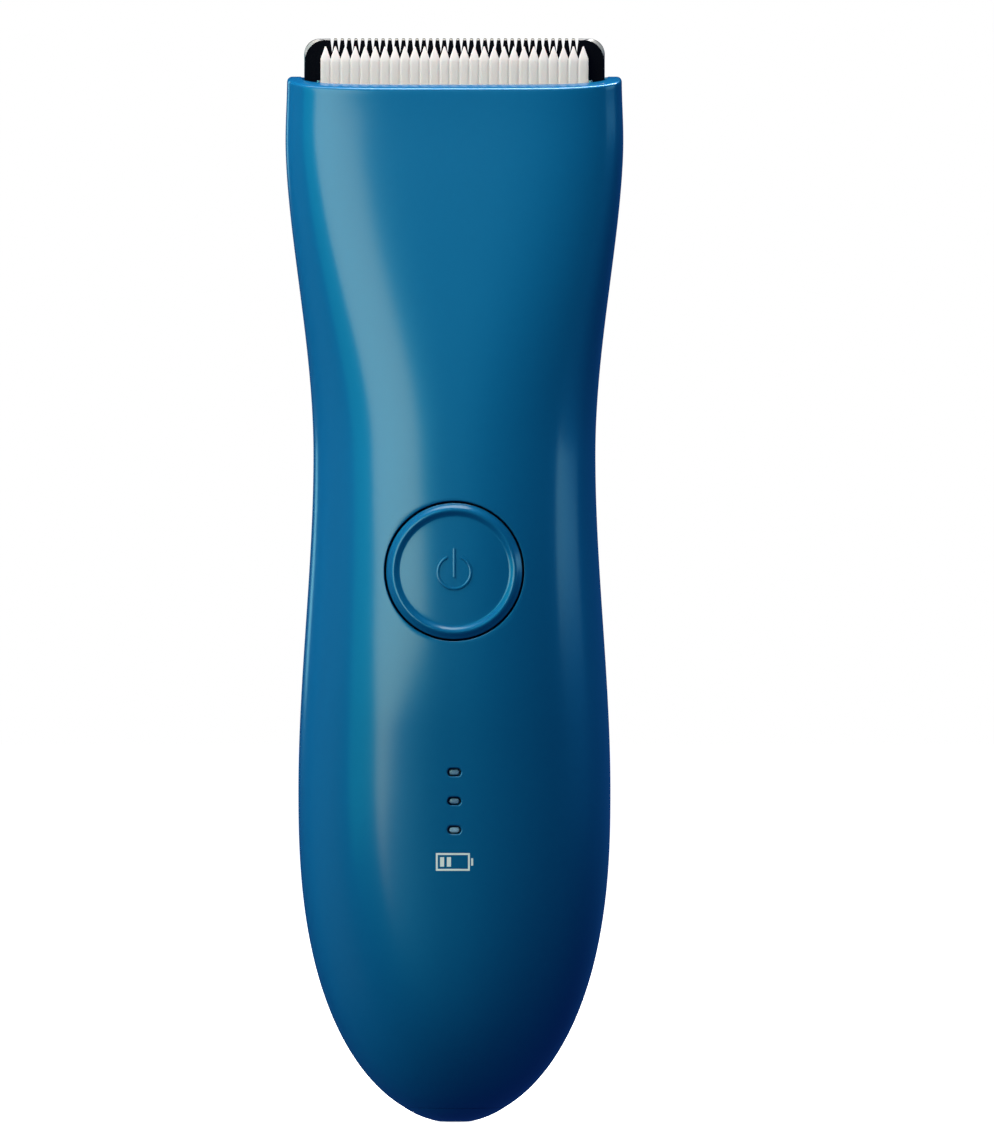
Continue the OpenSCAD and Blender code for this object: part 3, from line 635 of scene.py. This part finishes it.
def ink_bar(name, x0, z0, x1, z1):
    """A thin printed bar that lies on the casing's front, between two corners."""
    column, under, over = 0.3, -0.03, 0.012
    solid = Solid()
    loops = []
    for x in np.linspace(x0, x1, math.ceil((x1 - x0) / column) + 1):
        corners = [(z0, under), (z1, under), (z1, over), (z0, over)]
        loops.append(solid.loop([(x, -float(reach(x, z)) - lift, z) for z, lift in corners]))
    solid.loft(loops)
    new_piece(name, solid.points, solid.faces, "housing", "ink")


def build_battery_mark():
    """A plain battery symbol printed under the charge lights: an outline, its nub and two bars."""
    middle = LIGHT_Z[0] - 4.7
    half_w, half_h, line, apart = 2.5, 1.3, 0.28, 0.005
    nub_gap, nub_w, nub_half = 0.18, 0.3, 0.55
    bar_from, bar_w, bar_pitch, bar_gap = 0.62, 0.6, 1.0, 0.6
    shift = 0.2                 # to the left, to make room for the nub
    left, right = -half_w - shift, half_w - shift
    low, high = middle - half_h, middle + half_h
    side_low, side_high = low + line + apart, high - line - apart
    ink_bar("mark_low", left, low, right, low + line)
    ink_bar("mark_high", left, high - line, right, high)
    ink_bar("mark_left", left, side_low, left + line, side_high)
    ink_bar("mark_right", right - line, side_low, right, side_high)
    ink_bar("mark_nub", right + nub_gap, middle - nub_half, right + nub_gap + nub_w, middle + nub_half)
    for i in range(2):
        x = left + bar_from + i * bar_pitch
        ink_bar(f"mark_bar_{i + 1}", x, low + bar_gap, x + bar_w, high - bar_gap)


# ---------- blades ----------

def blade_side():
    """Right half of the steel blade's outline from the foot up, as (x, z, front x, front z).

    The front values are where the ground edge of each point meets the flat front face.
    """
    tang, foot, shoulder = 20.9, steel_lo[2], 151.1
    small = 0.03
    top = TIP_Z - 0.05
    corner, inner_corner = 2.3, 2.95
    face_side, face_top = BLADE_HALF - 0.15, top - 0.22
    tooth_length, tooth_half, tip_half = 2.1, 0.24, 0.16
    tip_fall, side_ground, tip_ground = 0.15, 0.33, 0.3
    points = [(tang, foot, tang - small, foot + small),
              (tang, shoulder, tang - small, shoulder + small),
              (BLADE_HALF, shoulder, face_side, shoulder + small)]
    for a in np.radians(np.linspace(0, 90, 19)):
        across, down = 1 - math.cos(a), 1 - math.sin(a)
        points.append((BLADE_HALF - corner * across, top - corner * down,
                       face_side - inner_corner * across, face_top - inner_corner * down))
    last_valley = FIXED_TEETH / 2 * FIXED_PITCH
    valley = TIP_Z - tooth_length
    lug = last_valley + FIXED_PITCH / 2 - tooth_half
    points.append((lug, top, lug + small, face_top))
    flank = tooth_half, tip_fall, tooth_half - small, side_ground
    tip = tip_half, 0, tip_half, tip_ground
    for i in range(FIXED_TEETH // 2, 0, -1):
        centre = (i - 0.5) * FIXED_PITCH
        points.append((i * FIXED_PITCH, valley, i * FIXED_PITCH, valley - small))
        for side, corners in ((1, (flank, tip)), (-1, (tip, flank))):
            points += [(centre + side * x, TIP_Z - fall, centre + side * front_x, TIP_Z - ground)
                       for x, fall, front_x, ground in corners]
    points.append((0, valley, 0, valley - small))
    return points


def build_steel_blade():
    """Toothed plate whose front edges are ground back; the ground faces are bare steel."""
    right = blade_side()
    left = [(-x, z, -fx, fz) for x, z, fx, fz in right[-2::-1]]
    points = right + left
    slope = 0.6
    edge_inset, edge_depth = 0.08, 0.1
    solid = Solid()
    loops = [solid.loop([(x, BLADE_BACK, z) for x, z, _, _ in points])]
    for share, extra in ((0, edge_depth), (1, 0)):
        edge = []
        for x, z, fx, fz in points:
            run = math.hypot(x - fx, z - fz)
            pull = share * min(edge_inset / max(run, 1e-6), 0.4)
            y = BLADE_FRONT + slope * run * (1 - pull) + extra
            edge.append((mix(x, fx, pull), y, mix(z, fz, pull)))
        loops.append(solid.loop(edge))
    loops.append(solid.loop([(fx, BLADE_FRONT, fz) for _, _, fx, fz in points]))
    solid.loft(loops)
    blade = new_piece("steel_blade", solid.points, solid.faces, "cartridge", "blade_steel",
                      ["fixed_blade"], crease=20)
    blade.data.materials.append(finish_of("ground_steel"))
    for polygon in blade.data.polygons:
        slopes = 0.5 < -polygon.normal.y < 0.98
        if slopes:
            polygon.material_index = 1


def build_ceramic():
    """Ribbed plate: each rib runs up into a pointed tooth, with a soft groove between ribs."""
    half = [0, 0.2, 0.35, 0.39, 0.43, 0.47, 0.5]
    shares = [-share for share in half[:0:-1]] + half
    foot, tip = ceramic_lo[2], ceramic_hi[2]
    valley = TIP_Z - 3.1
    front, back = ceramic_lo[1], ceramic_hi[1]
    bevel_from = valley - 0.5
    groove_depth, crown_depth, bevel_depth, foot_bevel = 0.04, 0.01, 0.7, 0.12
    tip_width = 0.12
    heights = [foot, foot + 0.15, 150, 152, 154, 155.5, bevel_from, valley - 0.2, valley]
    heights += [mix(valley, tip, t) for t in (0.06, 0.15, 0.3, 0.45, 0.6, 0.75, 0.88, 0.96, 1)]
    span = len(shares)
    teeth_from = heights.index(valley)
    # The column of each side of a tooth, and the tooth where the plate ends on that side. Below the
    # valley the plate runs on from tooth to tooth, so only those two have a side there.
    end_tooth = {span - 1: CUTTER_TEETH - 1, 2 * span - 1: 0}
    solid = Solid()
    for tooth in range(CUTTER_TEETH):
        centre = (tooth - (CUTTER_TEETH - 1) / 2) * CUTTER_PITCH
        grids = []
        for z in heights:
            t = max(0.0, (z - valley) / (tip - valley))
            width = mix(1.0, tip_width, t)
            thin = bevel_depth * max(0.0, (z - bevel_from) / (tip - bevel_from)) ** 1.5
            foot_edge = foot_bevel if z == foot else 0.0
            row = []
            for share in shares:
                groove = groove_depth * float(smooth((abs(share) - 0.33) / 0.15)) * (1 - 0.5 * t)
                crown = crown_depth * (2 * share) ** 2
                y = front + groove + crown + thin + foot_edge
                row.append((centre + share * CUTTER_PITCH * width, y, z))
            grids.append(solid.loop(row + [(x, back, z) for x, _, _ in row[::-1]]))
        for level, (low, high) in enumerate(zip(grids, grids[1:])):
            for c in range(2 * span):
                d = (c + 1) % (2 * span)
                if level >= teeth_from or end_tooth.get(c, tooth) == tooth:
                    solid.faces.append((low[c], low[d], high[d], high[c]))
        solid.faces.append(tuple(grids[0]))
        solid.faces.append(tuple(grids[-1]))
    new_piece("ceramic_comb", solid.points, solid.faces, "cutter", "white_ceramic",
              ["ceramic_cutter"], crease=40)


# ---------- materials ----------

def principled(name, colour, roughness, metallic=0.0):
    """A material whose shader has these values, with its node tree."""
    material = bpy.data.materials.new(name)
    material.use_nodes = True
    tree = material.node_tree
    shader = tree.nodes["Principled BSDF"]
    shader.inputs["Base Color"].default_value = (*colour, 1)
    shader.inputs["Roughness"].default_value = roughness
    shader.inputs["Metallic"].default_value = metallic
    return material, tree, shader


def object_noise(tree, scale, detail=3.0, stretch=(1, 1, 1)):
    """Noise in object space; scale is features per metre, stretch squeezes it along an axis."""
    place = tree.nodes.new("ShaderNodeTexCoord")
    size = tree.nodes.new("ShaderNodeMapping")
    size.inputs["Scale"].default_value = stretch
    noise = tree.nodes.new("ShaderNodeTexNoise")
    noise.inputs["Scale"].default_value = scale
    noise.inputs["Detail"].default_value = detail
    tree.links.new(place.outputs["Object"], size.inputs["Vector"])
    tree.links.new(size.outputs["Vector"], noise.inputs["Vector"])
    return noise.outputs["Fac"]


def vary(tree, fac, low, high):
    """Maps a 0 to 1 value on to a range."""
    node = tree.nodes.new("ShaderNodeMapRange")
    node.inputs["To Min"].default_value = low
    node.inputs["To Max"].default_value = high
    tree.links.new(fac, node.inputs["Value"])
    return node.outputs["Result"]


def tint(tree, fac, dark, light):
    """A colour between two, by a 0 to 1 value."""
    node = tree.nodes.new("ShaderNodeMix")
    node.data_type = "RGBA"
    node.inputs["A"].default_value = (*dark, 1)
    node.inputs["B"].default_value = (*light, 1)
    tree.links.new(fac, node.inputs["Factor"])
    return node.outputs["Result"]


def bump(tree, shader, height, distance_mm):
    """Fine relief on a shader from a 0 to 1 value."""
    node = tree.nodes.new("ShaderNodeBump")
    node.inputs["Strength"].default_value = 0.4
    node.inputs["Distance"].default_value = distance_mm * MM
    tree.links.new(height, node.inputs["Height"])
    tree.links.new(node.outputs["Normal"], shader.inputs["Normal"])


def textured(name, colour, roughness, metallic=0.0, spread=0.06, rough_spread=0.05, grain=900.0,
             depth_mm=0.004, stretch=(1, 1, 1)):
    """The common recipe: mottled colour, uneven roughness and a fine bump, all from noise."""
    material, tree, shader = principled(name, colour, roughness, metallic)
    mottle = object_noise(tree, grain / 6, 4, stretch)
    fine = object_noise(tree, grain, 2, stretch)
    dark, light = ([c * (1 + change) for c in colour] for change in (-spread, spread))
    uneven = vary(tree, fine, roughness - rough_spread, roughness + rough_spread)
    tree.links.new(tint(tree, mottle, dark, light), shader.inputs["Base Color"])
    tree.links.new(uneven, shader.inputs["Roughness"])
    bump(tree, shader, fine, depth_mm)
    return material, tree, shader


def blue_plastic(name):
    """Pearly moulded casing: deep blue with a broad blue sheen, under a clear satin skin."""
    material, _, shader = textured(name, (0.003, 0.117, 0.275), roughness=0.37, metallic=0.45,
                                   spread=0.03, rough_spread=0.02, grain=5200.0, depth_mm=0.0012)
    shader.inputs["Specular IOR Level"].default_value = 0.0
    shader.inputs["Coat Weight"].default_value = 1.0
    shader.inputs["Coat Roughness"].default_value = 0.16
    shader.inputs["Coat IOR"].default_value = 1.5
    return material


def black_blade(name):
    """Polished black coating, drawn along the blade's height."""
    material, _, shader = textured(name, (0.002, 0.002, 0.0022), roughness=0.06, spread=0.1,
                                   rough_spread=0.02, grain=2600.0, depth_mm=0.0004,
                                   stretch=(1, 1, 0.06))
    shader.inputs["Specular IOR Level"].default_value = 0.2
    return material


def ground_steel(name):
    """The bare metal of the fixed blade's ground edges, with marks across."""
    return textured(name, (0.27, 0.26, 0.255), roughness=0.36, metallic=0.3, spread=0.05,
                    grain=3000.0, depth_mm=0.001, stretch=(0.1, 1, 1))[0]


def steel(name):
    """Bright steel, brushed across."""
    return textured(name, (0.56, 0.57, 0.59), roughness=0.26, metallic=1.0, spread=0.05,
                    rough_spread=0.07, grain=2400.0, depth_mm=0.001, stretch=(0.12, 1, 1))[0]


def ceramic(name):
    """Off-white ceramic that lets a little light in."""
    material, _, shader = textured(name, (0.51, 0.44, 0.45), roughness=0.42, spread=0.02,
                                   grain=1800.0, depth_mm=0.0015)
    shader.inputs["Subsurface Weight"].default_value = 0.12
    shader.inputs["Subsurface Scale"].default_value = 0.0006
    return material


def lens(name):
    """Smoky clear plastic. The tip of the lowest light glows a little."""
    material, tree, shader = textured(name, (0.18, 0.27, 0.38), roughness=0.22, spread=0.12,
                                      grain=2500.0, depth_mm=0.002)
    place = tree.nodes.new("ShaderNodeTexCoord")
    axes = tree.nodes.new("ShaderNodeSeparateXYZ")
    tree.links.new(place.outputs["Object"], axes.inputs["Vector"])
    glow = tree.nodes.new("ShaderNodeMath")
    glow.operation = "MULTIPLY"
    lowest = LIGHT_Z[0]
    tip_y = -float(reach(0, lowest)) + 0.9
    brightest = 0.1
    ramps = [("Z", lowest + 1.2, lowest + 1.0, 1.0), ("Y", tip_y, tip_y - 0.2, brightest)]
    for factor, (axis, start, end, most) in zip(glow.inputs, ramps):
        ramp = tree.nodes.new("ShaderNodeMapRange")
        ramp.inputs["From Min"].default_value = start * MM
        ramp.inputs["From Max"].default_value = end * MM
        ramp.inputs["To Max"].default_value = most
        tree.links.new(axes.outputs[axis], ramp.inputs["Value"])
        tree.links.new(ramp.outputs["Result"], factor)
    tree.links.new(glow.outputs["Value"], shader.inputs["Emission Strength"])
    shader.inputs["Emission Color"].default_value = (0.5, 0.85, 1.0, 1)
    return material


def rubber(name):
    return textured(name, (0.012, 0.012, 0.013), roughness=0.7, spread=0.2, rough_spread=0.08,
                    grain=1500.0, depth_mm=0.006)[0]


def black_plastic(name):
    return textured(name, (0.011, 0.011, 0.012), roughness=0.42, spread=0.15, rough_spread=0.08,
                    grain=1800.0, depth_mm=0.006)[0]


def grey_plastic(name):
    return textured(name, (0.035, 0.037, 0.041), roughness=0.5, spread=0.1, rough_spread=0.08,
                    grain=1600.0, depth_mm=0.006)[0]


def pale_plastic(name):
    return textured(name, (0.66, 0.63, 0.55), roughness=0.45, spread=0.05, rough_spread=0.06,
                    grain=1400.0, depth_mm=0.006)[0]


def insulation(name, colour):
    return textured(name, colour, roughness=0.45, spread=0.08, rough_spread=0.06, grain=1600.0)[0]


def red_insulation(name):
    return insulation(name, (0.36, 0.012, 0.01))


def black_insulation(name):
    return insulation(name, (0.012, 0.012, 0.013))


def battery_wrap(name):
    """Shrink wrap with darker printed bands that run round it."""
    material, tree, shader = textured(name, (0.03, 0.17, 0.1), roughness=0.3, depth_mm=0.003)
    wave = tree.nodes.new("ShaderNodeTexWave")
    wave.bands_direction = "Z"
    wave.inputs["Scale"].default_value = 18
    place = tree.nodes.new("ShaderNodeTexCoord")
    tree.links.new(place.outputs["Object"], wave.inputs["Vector"])
    step = vary(tree, wave.outputs["Fac"], -3, 4)
    bands = tint(tree, step, (0.02, 0.11, 0.07), (0.035, 0.19, 0.11))
    tree.links.new(bands, shader.inputs["Base Color"])
    return material


def board(name):
    """Green laminate with paler copper tracks under the mask."""
    material, tree, shader = textured(name, (0.01, 0.07, 0.03), roughness=0.35, spread=0.1,
                                      grain=1200.0, depth_mm=0.003)
    tracks = tree.nodes.new("ShaderNodeTexBrick")
    tracks.inputs["Scale"].default_value = 420
    tracks.inputs["Color1"].default_value = (0.008, 0.06, 0.026, 1)
    tracks.inputs["Color2"].default_value = (0.010, 0.07, 0.03, 1)
    tracks.inputs["Mortar"].default_value = (0.03, 0.15, 0.06, 1)
    place = tree.nodes.new("ShaderNodeTexCoord")
    turn = tree.nodes.new("ShaderNodeMapping")
    turn.inputs["Rotation"].default_value = (math.pi / 2, 0, 0)
    tree.links.new(place.outputs["Object"], turn.inputs["Vector"])
    tree.links.new(turn.outputs["Vector"], tracks.inputs["Vector"])
    tree.links.new(tracks.outputs["Color"], shader.inputs["Base Color"])
    return material


def copper(name):
    """Wound enamelled wire: fine ridges along the motor's axis."""
    return textured(name, (0.52, 0.2, 0.07), roughness=0.3, metallic=1.0, spread=0.1,
                    rough_spread=0.08, grain=2000.0, stretch=(1, 1, 0.3))[0]


def emitter(name):
    return textured(name, (0.8, 0.78, 0.6), roughness=0.35, spread=0.05, grain=1500.0,
                    depth_mm=0.003)[0]


def magnet(name):
    return textured(name, (0.05, 0.05, 0.055), roughness=0.55, metallic=0.4, spread=0.15,
                    rough_spread=0.1, grain=1500.0, depth_mm=0.01)[0]


def bronze(name):
    return textured(name, (0.42, 0.26, 0.11), roughness=0.38, metallic=1.0, spread=0.12,
                    rough_spread=0.08, grain=2500.0, depth_mm=0.006)[0]


def core_steel(name):
    """Stacked stampings: lines across the motor's axis."""
    return textured(name, (0.3, 0.31, 0.33), roughness=0.42, metallic=1.0, spread=0.1,
                    rough_spread=0.08, grain=2400.0, depth_mm=0.01, stretch=(1, 1, 6))[0]


def ink(name):
    return textured(name, (0.72, 0.72, 0.68), roughness=0.55, spread=0.04, rough_spread=0.08,
                    grain=3500.0, depth_mm=0.002)[0]


FINISHES = {
    "housing_plastic": blue_plastic,
    "black_rubber": rubber,
    "chassis_plastic": grey_plastic,
    "bright_steel": steel,
    "spring_steel": steel,
    "battery_wrap": battery_wrap,
    "red_wire": red_insulation,
    "black_wire": black_insulation,
    "black_plastic": black_plastic,
    "board_laminate": board,
    "light_emitter": emitter,
    "clear_lens": lens,
    "dark_magnet": magnet,
    "pale_plastic": pale_plastic,
    "bronze": bronze,
    "carbon_copper": copper,
    "core_steel": core_steel,
    "blade_steel": black_blade,
    "white_ceramic": ceramic,
    "ground_steel": ground_steel,
    "ink": ink,
}
made = {}


def finish_of(slot):
    """The slot's material, made once."""
    if slot not in made:
        made[slot] = FINISHES[slot]("finish_" + slot)
    return made[slot]


def dress_frame():
    """Gives every CAD node that stays in view its finish, and softens its edges."""
    slots = {row["node"]: row["material_slot"] for row in frame["record"]["subparts"]}
    for name, piece in frame["nodes"].items():
        piece.data.materials.clear()
        piece.data.materials.append(finish_of(slots[name]))
        if piece.hide_render or "wire" in name:
            continue
        weld = piece.modifiers.new("weld", "WELD")
        weld.merge_threshold = 1e-6
        bevel = piece.modifiers.new("edge", "BEVEL")
        bevel.width = 0.08 * MM
        bevel.segments = 2
        bevel.limit_method = "ANGLE"
        bevel.angle_limit = math.radians(40)


# ---------- studio ----------

CENTRE = Vector((0, 0, RIM_Z / 2 * MM))
EYE = (0.00628, -2.8004, 0.0816)       # in metres
FLOOR_HALF = 6.0                       # in metres
FLOOR_Z = -0.0002


def softbox(name, azimuth, elevation, across, upright, radiance, colour=(1, 1, 1),
            distance=1.6, lean=0):
    """An area light that faces the groomer, sized by the angles it fills as seen from there.

    Azimuth 0 is the camera's side, positive to the right. A positive lean tips its top to the left.
    Angles are in degrees.
    """
    a, e = math.radians(azimuth), math.radians(elevation)
    away = Vector((math.sin(a) * math.cos(e), -math.cos(a) * math.cos(e), math.sin(e)))
    light = bpy.data.lights.new(name, "AREA")
    light.shape = "RECTANGLE"
    light.size = 2 * distance * math.tan(math.radians(across) * math.cos(e) / 2)
    light.size_y = 2 * distance * math.tan(math.radians(upright) / 2)
    light.energy = radiance * math.pi * light.size * light.size_y
    light.color = colour
    lamp = bpy.data.objects.new(name, light)
    lamp.location = CENTRE + away * distance
    lamp.rotation_mode = "QUATERNION"
    tip = Quaternion((0, 0, 1), math.radians(lean))
    lamp.rotation_quaternion = away.to_track_quat("Z", "Y") @ tip
    lamp.visible_camera = False
    bpy.context.scene.collection.objects.link(lamp)
    return lamp


def build_lighting():
    """A tall highlight from the left, a wider one round it, soft fills and narrow edge lights."""
    softbox("band_core", -22, 12, 26, 25, 2.7, (1.0, 0.9, 0.5), lean=26)
    softbox("band_wide", -32, 20, 54, 44, 1.0, (0.04, 1.0, 0.8), lean=12)
    softbox("strip_right", 77, 12, 37, 9.6, 1.9, (0.4, 0.95, 1.0))
    softbox("rim_left", -147, 17, 11.6, 32, 1.3, (0.4, 1.0, 1.0))
    softbox("rim_right", 125, 66, 27, 52, 27)
    softbox("strip_top", -20, 72, 120, 15.5, 5.5, (1.0, 0.78, 0.5))
    for fill in (softbox("fill_left", -88, 20, 61, 90, 3.5, (0.9, 1.0, 0.9), 0.9),
                 softbox("fill_top", -70, 58, 70, 43, 4.6, (1.05, 1.0, 1.1), 0.42),
                 softbox("fill_head", -8, 50, 45, 30, 4.7, (1.0, 1.0, 0.9), 0.16)):
        fill.visible_glossy = False


def build_world():
    """White to the camera, dim and bluish to everything else."""
    world = bpy.data.worlds.new("studio")
    bpy.context.scene.world = world
    world.use_nodes = True
    nodes, links = world.node_tree.nodes, world.node_tree.links
    nodes.clear()
    path = nodes.new("ShaderNodeLightPath")
    fill = nodes.new("ShaderNodeBackground")
    fill.inputs["Color"].default_value = (0.05, 0.22, 1.0, 1)
    fill.inputs["Strength"].default_value = 0.15
    white = nodes.new("ShaderNodeBackground")
    white.inputs["Color"].default_value = (1, 1, 1, 1)
    white.inputs["Strength"].default_value = 1.0
    choose = nodes.new("ShaderNodeMixShader")
    out = nodes.new("ShaderNodeOutputWorld")
    links.new(path.outputs["Is Camera Ray"], choose.inputs["Fac"])
    links.new(fill.outputs["Background"], choose.inputs[1])
    links.new(white.outputs["Background"], choose.inputs[2])
    links.new(choose.outputs["Shader"], out.inputs["Surface"])


def build_floor():
    """Plain white floor just under the groomer's tip."""
    mesh = bpy.data.meshes.new("floor")
    form = bmesh.new()
    bmesh.ops.create_grid(form, x_segments=8, y_segments=8, size=FLOOR_HALF)
    form.to_mesh(mesh)
    form.free()
    floor = bpy.data.objects.new("floor", mesh)
    bpy.context.scene.collection.objects.link(floor)
    material, tree, shader = principled("floor_white", (0.9, 0.9, 0.9), 0.8)
    shader.inputs["Emission Color"].default_value = (1, 1, 1, 1)
    shader.inputs["Emission Strength"].default_value = 1.0
    mottle = object_noise(tree, 30)
    tree.links.new(vary(tree, mottle, 0.75, 0.85), shader.inputs["Roughness"])
    mesh.materials.append(material)
    floor.visible_diffuse = False
    floor.visible_glossy = False
    floor.location = (0, 0, FLOOR_Z)


def build_camera():
    """Level long lens in front, a little to the right, as the object stands left of the middle."""
    camera = bpy.data.cameras.new("camera")
    camera.sensor_width = 36
    camera.lens = 600
    eye = bpy.data.objects.new("camera", camera)
    eye.location = EYE
    eye.rotation_euler = (math.pi / 2, 0, 0)
    bpy.context.scene.collection.objects.link(eye)
    bpy.context.scene.camera = eye


build_casing()
build_end_cap()
build_button()
build_power_symbol()
build_lights()
build_battery_mark()
build_steel_blade()
build_ceramic()
dress_frame()
build_lighting()
build_world()
build_floor()
build_camera()
bpy.context.scene.view_settings.view_transform = "Standard"
